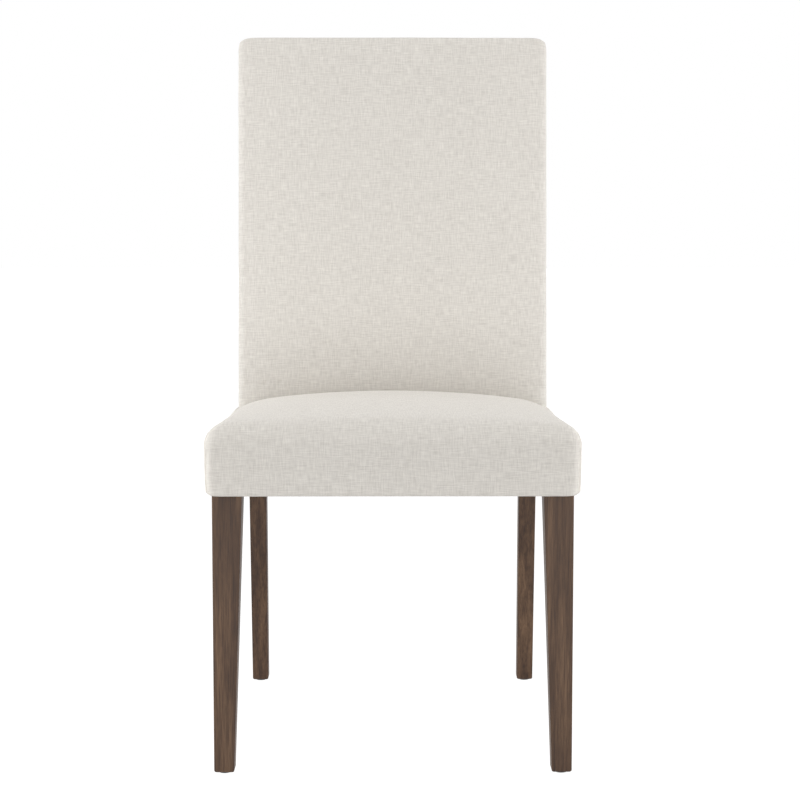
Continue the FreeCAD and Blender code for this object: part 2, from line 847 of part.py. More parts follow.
    dust_half = frame_half - dust_cover_inset
    dust_cover = block(
        -dust_half, dust_half, leg_front + dust_cover_inset, post_rear - dust_cover_inset,
        seat_underside_height - dust_cover_thickness, seat_underside_height)
    nodes["dust_cover"] = dust_cover.cut(all_legs + dust_staples)
    nodes["seat_cover"] = drilled(seat_cover, dust_staples)
    nodes["dust_cover_staples"] = dust_staples
    return nodes


def export(nodes):
    os.makedirs("parts", exist_ok=True)
    for name, shape in nodes.items():
        whole = Part.Compound(shape) if isinstance(shape, list) else shape
        moved = whole.translated(vec(0, -overall_depth / 2, 0))
        moved.exportStep("parts/" + name + ".step")


export(build())
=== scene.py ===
import math

import bmesh
import bpy
import numpy as np
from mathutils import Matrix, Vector, noise
from mathutils.bvhtree import BVHTree


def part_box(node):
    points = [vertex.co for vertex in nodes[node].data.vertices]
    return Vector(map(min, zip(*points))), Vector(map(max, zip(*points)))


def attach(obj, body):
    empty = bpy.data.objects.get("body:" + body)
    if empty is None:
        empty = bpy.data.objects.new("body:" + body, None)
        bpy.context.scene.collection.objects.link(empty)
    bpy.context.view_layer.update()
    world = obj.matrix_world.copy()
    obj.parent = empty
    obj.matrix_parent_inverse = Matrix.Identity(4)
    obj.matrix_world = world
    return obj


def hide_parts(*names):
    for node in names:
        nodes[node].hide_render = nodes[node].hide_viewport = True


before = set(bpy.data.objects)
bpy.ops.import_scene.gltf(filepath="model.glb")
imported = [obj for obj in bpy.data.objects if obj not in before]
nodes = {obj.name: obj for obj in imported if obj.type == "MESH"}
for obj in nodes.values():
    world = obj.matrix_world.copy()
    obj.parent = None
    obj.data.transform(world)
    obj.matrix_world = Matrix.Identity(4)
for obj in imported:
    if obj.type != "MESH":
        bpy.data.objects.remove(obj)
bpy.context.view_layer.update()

# Sizes in millimetres, the part's own where the comment says nothing else. Y is 0 on the
# seat's front face here, and to_frame() moves it to the part's origin.
OVERALL_HEIGHT = 1019.0
OVERALL_DEPTH = 561.37
UNDERSIDE = 374.5
DECK = 442.2
FIT_GAP = 0.3  # between the back and the seat

# Seat
CROWN_TOP = 479.7
SEAT_DEPTH = 439.5
SEAT_HALF = 243.0
BULGE = 5.0  # each side beyond the lower edge
BULGE_HEIGHT = 50.0  # above the underside
FRONT_ROLL = 28.0  # radius of the soft front edge
CORNER_RADIUS = 12.0  # front corners seen from above
REAR_CORNER = 6.0
CORNER_TIGHTNESS = 0.6  # share of the shoulder's width lost at the front face
RIM_SHARE = 0.3  # share of the front roll's drop that the rim follows
REAR_SHARE = 0.3  # share of an inset that the rear faces follow

# The seat's section, at its front and at its rear
CROWN_DROP = (8.0, 2.5)
RIM_DROP = (1.0, 0.7)  # top of the bowed side, below the deck
EDGE_RISE = (27.5, 24.0)  # where the crown starts, above the deck
SHOULDER = (28.0, 62.0)  # width of the rounded shoulder
FULLNESS = (9.5, 4.5)  # 2 more than the part's at the front, because the air draws it in
HEM_ROUNDING = 6.0  # radius of the cover's lower edge, which the part has square
HEM_FULLNESS = 3.8  # the same edge, out from the part's

# Back
BACK_HALF = 238.0
BACK_FRONT = 35.5  # before the posts' front
BACK_REAR = 34.5  # behind it
POST_FRONT = 475.0
RAKE = math.radians(5.3)
FRONT_RADIUS = 15.0
REAR_RADIUS = 4.0
TOP_RADIUS = 14.0
BACK_CROWN = 5.0
BACK_CROWN_FOOT = 1.0
BACK_CROWN_HEAD = 2.0
CROWN_START = 31.0  # below the deck, where the crown of the back begins
HEAD_FRONT = BACK_FRONT + BACK_CROWN_HEAD - TOP_RADIUS
BACK_LENGTH = (OVERALL_HEIGHT - DECK - HEAD_FRONT * math.sin(RAKE)) / math.cos(RAKE)
SEAT_REAR = POST_FRONT + BACK_REAR
UNDER_PANEL = 0.5  # the back's own rear face, inside the outside panel's

# Outside back panel, along the back from the deck
PANEL_HALF = 234.0
PANEL_LENGTH = BACK_LENGTH - TOP_RADIUS
PANEL_TOP = PANEL_LENGTH - 2
PANEL_FOOT = UNDERSIDE - DECK + 1.5
PANEL_BEND = -BACK_REAR * math.tan(RAKE / 2)

# Covers and seams, in metres
COVER_VOXEL = 0.0055
MOST_SWELL = 0.002
SEAM_RADIUS = 0.0009
SEAM_SINK = 0.0003
STITCH_RADIUS = 0.00045


def to_frame(points):
    """Millimetres from the seat's front face to metres from the part's origin."""
    return (np.asarray(points, float) + (0, -OVERALL_DEPTH / 2, 0)) * 0.001


def from_frame(points):
    """Metres from the part's origin to millimetres from the seat's front face."""
    return np.asarray(points, float) * 1000 + (0, OVERALL_DEPTH / 2, 0)


def leaned(points):
    """(x, offset behind the posts' front, height up the back) to plain x, y, z."""
    x, offset, up = np.asarray(points, float).T
    y = POST_FRONT + offset * math.cos(RAKE) + up * math.sin(RAKE)
    z = DECK - offset * math.sin(RAKE) + up * math.cos(RAKE)
    return np.stack([x, y, z], 1)


def unleaned(points):
    """Plain x, y, z to (x, offset behind the posts' front, height up the back)."""
    x, y, z = np.asarray(points, float).T
    y, z = y - POST_FRONT, z - DECK
    offset = y * math.cos(RAKE) - z * math.sin(RAKE)
    up = y * math.sin(RAKE) + z * math.cos(RAKE)
    return np.stack([x, offset, up], 1)


# Meshes

def mesh_object(name, vertices, faces):
    """A smooth-shaded object from vertices in metres."""
    mesh = bpy.data.meshes.new(name)
    mesh.from_pydata([tuple(v) for v in vertices], [], faces)
    mesh.validate()
    repaired = bmesh.new()
    repaired.from_mesh(mesh)
    bmesh.ops.recalc_face_normals(repaired, faces=repaired.faces)
    repaired.to_mesh(mesh)
    repaired.free()
    mesh.shade_smooth()
    obj = bpy.data.objects.new(name, mesh)
    bpy.context.scene.collection.objects.link(obj)
    return obj


def per_vertex(mesh, property_name):
    flat = np.zeros(len(mesh.vertices) * 3, np.float32)
    mesh.vertices.foreach_get(property_name, flat)
    return flat.reshape(-1, 3).astype(float)


def coordinates(mesh):
    return per_vertex(mesh, "co")


def normals(mesh):
    return per_vertex(mesh, "normal")


def set_coordinates(mesh, points):
    mesh.vertices.foreach_set("co", np.asarray(points, np.float32).ravel())
    mesh.update()


def per_corner(mesh):
    """Each face corner's vertex, and the normal of its face."""
    corners = np.zeros(len(mesh.loops), np.int64)
    mesh.loops.foreach_get("vertex_index", corners)
    faces = np.zeros(len(mesh.polygons) * 3, np.float32)
    mesh.polygons.foreach_get("normal", faces)
    totals = np.zeros(len(mesh.polygons), np.int64)
    mesh.polygons.foreach_get("loop_total", totals)
    return corners, np.repeat(faces.reshape(-1, 3), totals, axis=0)


def apply_modifiers(obj):
    """Replaces the object's mesh by what its modifiers make of it."""
    graph = bpy.context.evaluated_depsgraph_get()
    made = bpy.data.meshes.new_from_object(obj.evaluated_get(graph), depsgraph=graph)
    obj.modifiers.clear()
    old = obj.data
    obj.data = made
    bpy.data.meshes.remove(old)
    made.shade_smooth()


def ring_quads(rings, count):
    """Quads between rings of count points each."""
    quads = []
    for first in range(0, (rings - 1) * count, count):
        for i in range(count):
            j = (i + 1) % count
            quads.append((first + i, first + j, first + count + j, first + count + i))
    return quads


def grid_quads(rows, columns, steps):
    """Quads of a grid of points; steps lead from a quad's first point to each of its corners."""
    starts = [r * columns + c for r in range(rows - 1) for c in range(columns - 1)]
    return [tuple(start + step for step in steps) for start in starts]


def ringed(name, rings):
    """A closed form from rings of points, each end closed with one face."""
    count = len(rings[0])
    last = (len(rings) - 1) * count
    faces = ring_quads(len(rings), count)
    faces.append(tuple(range(count)))
    faces.append(tuple(range(last + count - 1, last - 1, -1)))
    return mesh_object(name, to_frame(np.concatenate(rings)), faces)


def arc_points(a, middle, b, count):
    """Points along the arc from a through middle to b, without b."""
    (ax, ay), (mx, my), (bx, by) = a, middle, b
    d = 2 * (ax * (my - by) + mx * (by - ay) + bx * (ay - my))
    steps = np.arange(count) / count
    if abs(d) < 1e-6:
        return [(ax + (bx - ax) * s, ay + (by - ay) * s) for s in steps]
    a2, m2, b2 = ax * ax + ay * ay, mx * mx + my * my, bx * bx + by * by
    cx = (a2 * (my - by) + m2 * (by - ay) + b2 * (ay - my)) / d
    cy = (a2 * (bx - mx) + m2 * (ax - bx) + b2 * (mx - ax)) / d
    radius = math.hypot(ax - cx, ay - cy)
    start = math.atan2(ay - cy, ax - cx)
    half = math.remainder(math.atan2(my - cy, mx - cx) - start, 2 * math.pi)
    rest = math.remainder(math.atan2(by - cy, bx - cx) - start - half, 2 * math.pi)
    turns = start + (half + rest) * steps
    return [(cx + radius * math.cos(t), cy + radius * math.sin(t)) for t in turns]


def bowed_points(a, b, rise, count):
    """An arc from a to b that stands off its chord to the right-hand side of its way."""
    length = math.hypot(b[0] - a[0], b[1] - a[1])
    out = ((b[1] - a[1]) / length, -(b[0] - a[0]) / length)
    middle = ((a[0] + b[0]) / 2 + out[0] * rise, (a[1] + b[1]) / 2 + out[1] * rise)
    return arc_points(a, middle, b, count)


def ramp(values, low, high):
    """A soft step from 0 at low to 1 at high."""
    s = np.clip((values - low) / (high - low), 0, 1)
    return s * s * (3 - 2 * s)


# The seat's form

def seat_ring(y, inset, drop, side_inset):
    """Cross-section of the seat at y: flat below, bowed sides, round shoulders, crown."""
    share = min(max(y / SEAT_DEPTH, 0), 1)

    def between(pair):
        return pair[0] + (pair[1] - pair[0]) * share

    softness = 1 - drop / FRONT_ROLL * CORNER_TIGHTNESS
    crown_drop = between(CROWN_DROP) * (2 * share - 1) ** 2
    rim_drop = between(RIM_DROP) + drop * RIM_SHARE
    shoulder = between(SHOULDER) * softness
    fullness = between(FULLNESS) * softness
    foot = SEAT_HALF - inset - side_inset
    widest = foot + BULGE
    hem = HEM_ROUNDING
    hem_cut = hem * 0.293  # how far an arc's middle stands off its corner
    side = foot + HEM_FULLNESS
    low = (side, UNDERSIDE + hem)
    rim = (widest, DECK - rim_drop)
    edge = (widest - shoulder, DECK + between(EDGE_RISE) - inset - drop)
    crown = (0, CROWN_TOP - inset - drop - crown_drop)
    half = arc_points((side - hem, UNDERSIDE), (side - hem_cut, UNDERSIDE + hem_cut), low, 6)
    half += arc_points(low, (widest, UNDERSIDE + BULGE_HEIGHT), rim, 10)
    half += bowed_points(rim, edge, fullness, 10)
    top = arc_points(edge, crown, (-edge[0], edge[1]), 40)
    left = [(-x, z) for x, z in reversed(half)]
    outline = half + top + [(-edge[0], edge[1])] + left
    return np.array([(x, y, z) for x, z in outline])


def corner_inset(radius, distance):
    """How far a round corner is in from the side, at a distance from its end."""
    reach = max(radius - distance, 0)
    return radius - math.sqrt(radius ** 2 - reach ** 2)


def seat_form(inset):
    roll, corner, tail = FRONT_ROLL - inset, CORNER_RADIUS - inset, REAR_CORNER - inset
    rings = []
    for turn in np.linspace(0, math.pi / 2, 13):
        along = roll * (1 - math.cos(turn))
        drop = roll * (1 - math.sin(turn))
        rings.append(seat_ring(inset + along, inset, drop, corner_inset(corner, along)))
    rear = SEAT_REAR - inset * REAR_SHARE
    for y in np.linspace(inset + roll, rear - tail, 18)[1:]:
        rings.append(seat_ring(y, inset, 0, 0))
    for turn in np.linspace(0, math.pi / 2, 4)[1:]:
        distance = tail * (1 - math.sin(turn))
        rings.append(seat_ring(rear - distance, inset, 0, corner_inset(tail, distance)))
    return ringed("seat_upholstery", rings)


# The back's form

def back_ring(ups, inset, crown, shrink):
    """Plan outline of the back, leaned; ups is a height or a function of the offset."""
    half = BACK_HALF - inset - shrink
    front = -BACK_FRONT + inset + shrink
    rear = BACK_REAR - UNDER_PANEL - inset * REAR_SHARE - shrink * REAR_RADIUS / TOP_RADIUS
    r = FRONT_RADIUS - inset
    q = REAR_RADIUS
    cut = 1 - math.sqrt(0.5)
    side = arc_points((half - q, rear), (half - q * cut, rear - q * cut), (half, rear - q), 5)
    side += arc_points((half, rear - q), (half, (rear - q + front + r) / 2), (half, front + r), 8)
    side += arc_points((half, front + r), (half - r * cut, front + r * cut), (half - r, front), 10)
    bow = arc_points((half - r, front), (0, front - crown), (-half + r, front), 40)
    outline = side + bow + [(-half + r, front)] + [(-x, y) for x, y in reversed(side)]
    points = [(x, o, ups(o) if callable(ups) else ups) for x, o in outline]
    return leaned(points)


def back_form(inset, gap):
    roll = TOP_RADIUS - inset
    start = BACK_LENGTH - inset - roll

    def crown_at(up):
        """The crown at the foot, half way up and at the head, on one parabola."""
        s = (up + CROWN_START) / (start + CROWN_START)
        m = (start / 2 + CROWN_START) / (start + CROWN_START)
        rise = BACK_CROWN_HEAD - BACK_CROWN_FOOT
        bow = (BACK_CROWN - BACK_CROWN_FOOT - rise * m) / (m * (m - 1))
        return BACK_CROWN_FOOT + rise * s + bow * s * (s - 1)

    def foot(offset):
        return (gap + offset * math.sin(RAKE)) / math.cos(RAKE)

    clear_of_foot = 12
    rings = [back_ring(foot, inset, crown_at(0), 0)]
    for up in np.linspace(clear_of_foot, start, 22):
        rings.append(back_ring(up, inset, crown_at(up), 0))
    for turn in np.linspace(0, math.pi / 2, 9)[1:]:
        up = start + roll * math.sin(turn)
        rings.append(back_ring(up, inset, BACK_CROWN_HEAD, roll * (1 - math.cos(turn))))
    return ringed("back_upholstery", rings)


# Padding

def remeshed(obj):
    voxels = obj.modifiers.new("voxels", "REMESH")
    voxels.mode = "VOXEL"
    voxels.voxel_size = COVER_VOXEL
    apply_modifiers(obj)


def subdivided(obj):
    finer = obj.modifiers.new("finer", "SUBSURF")
    finer.levels = finer.render_levels = 1
    apply_modifiers(obj)


def smoothed(mesh, values, rounds):
    """Values per vertex, averaged with their neighbours' a number of times."""
    edges = np.zeros(len(mesh.edges) * 2, np.int64)
    mesh.edges.foreach_get("vertices", edges)
    a, b = edges.reshape(-1, 2).T
    count = np.bincount(a, minlength=len(values)) + np.bincount(b, minlength=len(values))
    for _ in range(rounds):
        total = np.zeros_like(values)
        np.add.at(total, a, values[b])
        np.add.at(total, b, values[a])
        values = (values + total / count[:, None]) / 2
    return values


def filled_with_air(obj, freedom):
    """How far each vertex moves when Blender's cloth simulation fills the cover."""
    last_frame = 20
    levels = 10
    pins = obj.vertex_groups.new(name="pins")
    for level in range(levels + 1):
        found = np.flatnonzero(np.round((1 - freedom) * levels) == level)
        pins.add(found.tolist(), level / levels, "REPLACE")
    cloth = obj.modifiers.new("cloth", "CLOTH")
    settings = cloth.settings
    settings.quality = 4
    settings.use_pressure = True
    settings.uniform_pressure_force = 4
    settings.tension_stiffness = 15
    settings.compression_stiffness = 15
    settings.bending_stiffness = 2
    settings.effector_weights.gravity = 0
    settings.vertex_group_mass = "pins"
    cloth.collision_settings.use_collision = False
    cloth.point_cache.frame_start = 1
    cloth.point_cache.frame_end = last_frame
    rest = coordinates(obj.data)
    for step in range(1, last_frame + 1):
        bpy.context.scene.frame_set(step)
    graph = bpy.context.evaluated_depsgraph_get()
    moved = coordinates(obj.evaluated_get(graph).data) - rest
    obj.modifiers.remove(cloth)
    obj.vertex_groups.clear()
    bpy.context.scene.frame_set(1)
    return moved


def swell(obj, freedom):
    """Fills the cover. Vertices with freedom 0 stay, and none moves further than MOST_SWELL."""
    mesh = obj.data
    rest = coordinates(mesh)
    moved = filled_with_air(obj, freedom)
    far = np.linalg.norm(moved, axis=1, keepdims=True)
    moved = moved / np.maximum(far, 1e-9) * MOST_SWELL * np.tanh(far / MOST_SWELL)
    moved = smoothed(mesh, moved * freedom[:, None], 4)
    set_coordinates(mesh, rest + moved)


def uneven(points, seed, amplitude, size):
    """Gentle unevenness of stuffing, a distance per point."""
    shift = Vector((seed * 7.3, seed * 3.1, seed * 5.7))
    return np.array([noise.noise(Vector(p) / size + shift) for p in points]) * amplitude


# Threads: the material called woven reads each face corner's place on the cloth, in metres

def set_weave(mesh, places):
    layer = mesh.attributes.new("weave", "FLOAT_VECTOR", "CORNER")
    layer.data.foreach_set("vector", np.asarray(places, np.float32).ravel())


def on_cloth(u, v):
    """Places on the cloth from millimetres along its two threads."""
    return np.stack([u, v, np.zeros_like(u)], 1) * 0.001


def around(across, deep, radius):
    """Arc length round an edge of that radius: across before it, then down its other side.
    across runs up to 0 at the far face, and deep is the distance behind the near face."""
    turn = np.arctan2(np.maximum(radius + across, 0), np.maximum(radius - deep, 1e-6))
    length = -radius + radius * turn
    length = np.where(across < -radius, across, length)
    return np.where(deep > radius, radius * (math.pi / 2 - 1) + deep - radius, length)


def weave_seat(obj):
    """The cover's threads run over the top and down the front and both sides."""
    corners, face = per_corner(obj.data)
    x, y, z = from_frame(coordinates(obj.data))[corners].T
    lengthwise = around(-y, np.maximum(DECK + FRONT_ROLL - z, 0), FRONT_ROLL)
    lengthwise = np.where(y > FRONT_ROLL, -y, lengthwise)
    # Each side is taken as one arc from the top's flat middle down to the lower edge
    flat_half, arc_centre_z, arc_radius = 175, 398, 67.89
    turn = np.arctan2(z - arc_centre_z, np.abs(x) - flat_half)
    over = flat_half + arc_radius * (math.pi / 2 - turn)
    crosswise = np.where(np.abs(x) < flat_half, np.abs(x), over) * np.sign(x)
    front = face[:, 1] < -np.maximum(np.abs(face[:, 0]), np.abs(face[:, 2]) * 0.6)
    side = np.abs(face[:, 0]) > np.abs(face[:, 2])
    u = np.where(front, x, crosswise)
    v = np.where(side & ~front, -y, lengthwise)
    below = face[:, 2] < -0.8
    u, v = np.where(below, x, u), np.where(below, -y, v)
    set_weave(obj.data, on_cloth(u, v))


def weave_back(obj):
    """The cover's threads run round the sides, and over the top."""
    corners, face = per_corner(obj.data)
    x, offset, up = unleaned(from_frame(coordinates(obj.data)))[corners].T
    deep = offset + BACK_FRONT
    sideways = around(np.abs(x) - BACK_HALF, deep, FRONT_RADIUS) + BACK_HALF
    sideways = sideways * np.sign(x)
    upwards = around(up - BACK_LENGTH, deep, TOP_RADIUS) + BACK_LENGTH
    top = np.abs(face[:, 2]) > np.abs(face[:, 0])
    set_weave(obj.data, on_cloth(np.where(top, x, sideways), np.where(top, upwards, up)))


# Upholstered seat

def cut_by(obj, tool):
    cut = obj.modifiers.new("cut", "BOOLEAN")
    cut.operation = "DIFFERENCE"
    cut.solver = "EXACT"
    cut.object = tool
    apply_modifiers(obj)
    bpy.data.objects.remove(tool)


def beside_the_back(points):
    """Each point's distance from the middle, height up the back and distance before it."""
    x, offset, up = unleaned(points).T
    crown_allowance = 4
    return np.abs(x), up, -BACK_FRONT - crown_allowance - offset


def upholstered_seat():
    seat = seat_form(-0.9)
    cut_by(seat, back_form(-1.0, -1.0))
    remeshed(seat)
    points = from_frame(coordinates(seat.data))
    aside, _, before_back = beside_the_back(points)
    clear = np.where(aside > BACK_HALF - 4, 1, ramp(before_back, 0, 26))
    above_hem = ramp(points[:, 2], UNDERSIDE, UNDERSIDE + 14)
    held_side = 0.25 + 0.75 * ramp(SEAT_HALF - aside, 0, 40)
    swell(seat, above_hem * clear * held_side)
    subdivided(seat)

    points = from_frame(coordinates(seat.data))
    aside, up, before_back = beside_the_back(points)
    tuck_depth, tuck_reach = 3.2, 7.0
    middle = 1 - ramp(aside, BACK_HALF - 8, BACK_HALF + 2)
    tuck = np.exp(-np.maximum(before_back, 0) / tuck_reach) * (before_back > -8) * ramp(up, 6, 20)
    points[:, 2] -= tuck_depth * tuck * middle
    lift = uneven(points, 1, 0.45, 70.0) * ramp(points[:, 2], UNDERSIDE, UNDERSIDE + 15)
    points += normals(seat.data) * lift[:, None]
    set_coordinates(seat.data, to_frame(points))
    weave_seat(seat)
    return seat


# Upholstered back

# Short pulled creases just above the seat: x and height up the back at each end
CREASES = [
    (-228, 36, -214, 56), (-219, 38, -207, 52), (-196, 42, -190, 54), (-172, 43, -168, 51),
    (229, 36, 217, 52), (214, 40, 204, 50),
]


def puckers(x, up, creases):
    """Depth per point of creases that fade out from where the cover tucks in."""
    half_width = 2.6
    depth = np.zeros_like(x)
    for start_x, start_up, end_x, end_up in creases:
        way = np.array([end_x - start_x, end_up - start_up])
        length = np.linalg.norm(way)
        way = way / length
        along = (x - start_x) * way[0] + (up - start_up) * way[1]
        aside = np.abs((x - start_x) * -way[1] + (up - start_up) * way[0])
        fade = np.clip(1 - along / length, 0, 1) * (along > -4)
        depth += fade * np.exp(-(aside / half_width) ** 2)
    return depth


def boxing_groove(x, up):
    """Depth per point of the shallow line where the front turns to the sides and the top."""
    half_width = 3.2
    rim = np.minimum(np.abs(np.abs(x) - (BACK_HALF - FRONT_RADIUS)),
                     np.abs(up - (BACK_LENGTH - TOP_RADIUS)))
    inside = (np.abs(x) < BACK_HALF - 9) * (up < BACK_LENGTH - 9)
    return 0.5 * np.exp(-(rim / half_width) ** 2) * inside


def upholstered_back():
    back = back_form(-0.7, FIT_GAP)
    remeshed(back)
    x, offset, up = unleaned(from_frame(coordinates(back.data))).T
    above_seat = ramp(up, 6, 46)
    not_rear = 1 - ramp(offset, BACK_REAR - 14, BACK_REAR - 4)
    from_edge = np.minimum(BACK_HALF - np.abs(x), BACK_LENGTH - up)
    held_edge = 0.2 + 0.8 * ramp(from_edge, 2, 34)
    swell(back, above_seat * not_rear * held_edge)
    subdivided(back)

    points = from_frame(coordinates(back.data))
    x, offset, up = unleaned(points).T
    crease_depth = 1.4
    front = (offset < 0) * 1.0
    creases = puckers(x, up, CREASES) + boxing_groove(x, up)
    lift = uneven(points, 2, 0.5, 90.0) * front * ramp(up, 0, 60) - crease_depth * creases * front
    points += normals(back.data) * lift[:, None]
    set_coordinates(back.data, to_frame(points))
    weave_back(back)
    return back


# Outside back panel

def on_rear(x, stand, s):
    """Places that stand off the posts' front at s: upright below the bend, leaned above it."""
    leaning = leaned(np.stack([x, stand, s], 1))
    upright = np.stack([x, POST_FRONT + stand, DECK + s], 1)
    return np.where((s > PANEL_BEND)[:, None], leaning, upright)


def outside_panel():
    """The fabric panel on the rear: its edges turn in, and it follows the chair's bend."""
    edge_steps = np.array([0, 0.6, 1.4, 2.4, 3.6, 5.2])
    edge_width = 8

    def graded(start, end, count):
        """Steps from start to end that are short near both, for the turned edge."""
        middle = np.linspace(start + edge_width, end - edge_width, count)
        return np.concatenate([start + edge_steps, middle, end - edge_steps[::-1]])

    lengths = graded(PANEL_FOOT, PANEL_TOP, 80)
    across = graded(-PANEL_HALF, PANEL_HALF, 70)
    grid_x, grid_s = np.meshgrid(across, lengths)
    x, s = grid_x.ravel(), grid_s.ravel()
    edge = np.minimum(PANEL_HALF - np.abs(x), np.minimum(s - PANEL_FOOT, PANEL_TOP - s))
    turned_in, turn_radius = 1.3, 3.2
    stand = BACK_REAR - turned_in + 1.9 * np.sqrt(1 - (1 - np.clip(edge / turn_radius, 0, 1)) ** 2)
    stand = stand + 0.6 * ramp(edge, 0, 3) + 0.5 * ramp(edge, 0, 60)
    columns = len(across)
    quads = grid_quads(len(lengths), columns, (0, columns, columns + 1, 1))
    panel = mesh_object("outside_back_panel", to_frame(on_rear(x, stand, s)), quads)
    sharp = coordinates(panel.data)
    softened = (np.abs(s - PANEL_BEND) < 20) & (edge > 9)
    soft = smoothed(panel.data, sharp, 1)
    set_coordinates(panel.data, np.where(softened[:, None], soft, sharp))
    corners, _ = per_corner(panel.data)
    set_weave(panel.data, on_cloth(x, s)[corners])
    return panel


# Seams

def tube(path, radius, sides=6):
    """Vertices and faces of a tube along points in metres, with pointed ends."""
    path = np.asarray(path, float)
    last = len(path) - 1
    vertices = []
    for i, point in enumerate(path):
        ahead = Vector(path[min(i + 1, last)] - path[max(i - 1, 0)]).normalized()
        across = Vector((0, 0, 1) if abs(ahead.z) < 0.9 else (0, 1, 0))
        side = ahead.cross(across).normalized()
        other = ahead.cross(side)
        thick = radius * (0.25 if i in (0, last) else 1)
        for k in range(sides):
            turn = 2 * math.pi * k / sides
            round_it = side * math.cos(turn) + other * math.sin(turn)
            vertices.append(Vector(point) + round_it * thick)
    faces = ring_quads(len(path), sides)
    faces.append(tuple(range(sides))[::-1])
    faces.append(tuple(range(last * sides, (last + 1) * sides)))
    return vertices, faces


def gathered(name, tubes):
    vertices, faces = [], []
    for points, quads in tubes:
        faces += [tuple(i + len(vertices) for i in quad) for quad in quads]
        vertices += points
    return mesh_object(name, vertices, faces)


def seam_through(cover, aims):
    """A tube that lies just inside the cover, where a line along each aim first meets it.
    An aim is a point in the cover and the way towards it from outside."""
    outside = 0.5
    path = []
    for centre, way in aims:
        way = Vector(way).normalized()
        hit = cover.ray_cast(Vector(centre) - way * outside, way)[0]
        if hit is not None:
            path.append(np.array(hit + way * SEAM_SINK))
    return tube(path, SEAM_RADIUS)


def surface_tree(obj):
    return BVHTree.FromObject(obj, bpy.context.evaluated_depsgraph_get())


def seat_seams(seat):
    """The sewn joint down each front corner of the seat."""
    cover = surface_tree(seat)
    corner_x, corner_y, shoulder_z = 228, 16, DECK - 6
    inward, rearward = 0.86, 0.51
    tubes = []
    for side in (-1, 1):
        aims = []
        for z in np.linspace(UNDERSIDE + 1.5, shoulder_z, 22):
            centre = to_frame([[side * corner_x, corner_y, z]])[0]
            aims.append((centre, (-side * inward, rearward, 0)))
        for turn in np.linspace(0.05, 0.95, 12):
            rise, flat = math.sin(turn), math.cos(turn)
            centre = to_frame([[side * corner_x, corner_y + 14 * turn, shoulder_z]])[0]
            aims.append((centre, (-side * inward * flat, rearward * flat, -rise)))
        tubes.append(seam_through(cover, aims))
    return gathered("seat_corner_seams", tubes)


def back_seams(back):
    """The short sewn joint across each upper corner of the back."""
    cover = surface_tree(back)

    def corner_point(side, offset, inside):
        return to_frame(leaned([[side * (BACK_HALF - inside), offset, BACK_LENGTH - inside]]))[0]

    tubes = []
    for side in (-1, 1):
        aims = []
        for offset in np.linspace(-BACK_FRONT + 9, BACK_REAR - 4, 24):
            centre = corner_point(side, offset, 14)
            aims.append((centre, corner_point(side, offset, 15) - centre))
        tubes.append(seam_through(cover, aims))
    return gathered("back_corner_seams", tubes)


def panel_stitches():
    """Small slanting stitches that hold the outside panel's turned edge."""
    inner, outer, slant, pitch = 1.6, -1.4, 2.6, 9.0
    stand = np.array([BACK_REAR - 0.1])

    def stitch(start, end):
        a, b = (to_frame(on_rear(np.array([x]), stand, np.array([s])))[0] for x, s in (start, end))
        return tube([a, (a + b) / 2, b], STITCH_RADIUS, 5)

    tubes = []
    for side in (-1, 1):
        for s in np.arange(UNDERSIDE - DECK + 14, PANEL_LENGTH - 6, pitch):
            start = (side * (PANEL_HALF - inner), s)
            tubes.append(stitch(start, (side * (PANEL_HALF - outer), s + slant)))
    for x in np.arange(-PANEL_HALF + 8, PANEL_HALF - 8, pitch):
        tubes.append(stitch((x, PANEL_TOP - inner), (x + slant, PANEL_TOP - outer)))
    return gathered("outside_back_stitches", tubes)


# Dust cover

def dust_cover():
    """Black cloth under the seat: it sags a little inside its staples, and its edge turns in."""
    low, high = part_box("dust_cover")
    count = 80
    vertices = []
    for y in np.linspace(low.y, high.y, count):
        for x in np.linspace(low.x, high.x, count):
            edge = min(x - low.x, high.x - x, y - low.y, high.y - y)
            inner = min(edge / 0.03, 1)
            sag = 0.0011 * inner * inner * (3 - 2 * inner)
            ripple = noise.noise(Vector((x * 16, y * 16, 3.3))) * 0.0004 * inner
            turned = 0.0005 * min(edge / 0.002, 1)
            vertices.append((x, y, low.z + 0.0004 - turned - sag + ripple))
    quads = grid_quads(count, count, (0, 1, count + 1, count))
    cover = mesh_object("dust_cover_cloth", vertices, quads)
    corners, _ = per_corner(cover.data)
    set_weave(cover.data, coordinates(cover.data)[corners])
    return cover


# Shader nodes

def new_material(name, **values):
    """A material and its shader; values go on the shader's own sockets."""
    made = bpy.data.materials.new(name)
    made.use_nodes = True
    shader = made.node_tree.nodes["Principled BSDF"]
    for key, value in values.items():
        shader.inputs[key.replace("_", " ")].default_value = value
    return made, shader


def add(tree, kind, outlet=0, inputs=None, **settings):
    """A new node's output; inputs are numbers, colours or other outputs."""
    node = tree.nodes.new("ShaderNode" + kind)
    for key, value in settings.items():
        setattr(node, key, value)
    for key, value in (inputs or {}).items():
        if isinstance(value, bpy.types.NodeSocket):
            tree.links.new(value, node.inputs[key])
        else:
            node.inputs[key].default_value = value
    return node.outputs[outlet]


def calc(tree, operation, a, b=0.0, c=0.0, clamped=False):
    return add(tree, "Math", inputs={0: a, 1: b, 2: c}, operation=operation, use_clamp=clamped)


def weighted(tree, *terms):
    """The sum of outputs, each times its share."""
    parts = [calc(tree, "MULTIPLY", output, share) for output, share in terms]
    total = parts[0]
    for part in parts[1:]:
        total = calc(tree, "ADD", total, part)
    return total


def chosen(tree, choice, a, b):
    """a where choice is 0, and b where it is 1."""
    return add(tree, "Mix", inputs={0: choice, 2: a, 3: b})


def blend_colour(tree, factor, a, b):
    return add(tree, "Mix", outlet=2, inputs={0: factor, 6: a, 7: b}, data_type="RGBA")


